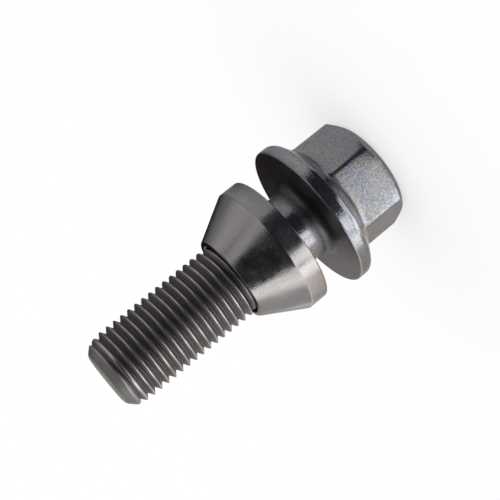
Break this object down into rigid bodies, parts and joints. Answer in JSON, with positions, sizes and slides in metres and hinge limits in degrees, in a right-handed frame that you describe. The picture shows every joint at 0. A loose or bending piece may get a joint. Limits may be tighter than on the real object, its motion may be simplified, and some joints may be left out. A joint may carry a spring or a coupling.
{
  "type": "wheel bolt",
  "caption": "Hex-head wheel bolt with a round flange and a loose conical collar that seats the wheel on its hub.",
  "frame": {"origin": "centre of the head's top face, which the bolt stands on", "axes": "+Z along the bolt's axis, from the head to the thread end; +X through a corner of the hexagon"},
  "size_m": [0.0276, 0.0276, 0.0582],
  "materials": {
    "bolt_steel": "plated forged steel, satin with a fine grain",
    "collar_steel": "turned steel, smooth and semi-bright"
  },
  "bodies": {
    "bolt": {"bolt": "bolt_steel"},
    "collar": {"taper_collar": "collar_steel"}
  },
  "joints": [
    {"name": "collar_slide", "type": "slide", "parent": "bolt", "child": "collar", "axis": [0, 0, 1], "range_m": [-0.00605, 0.00055]}
  ]
}
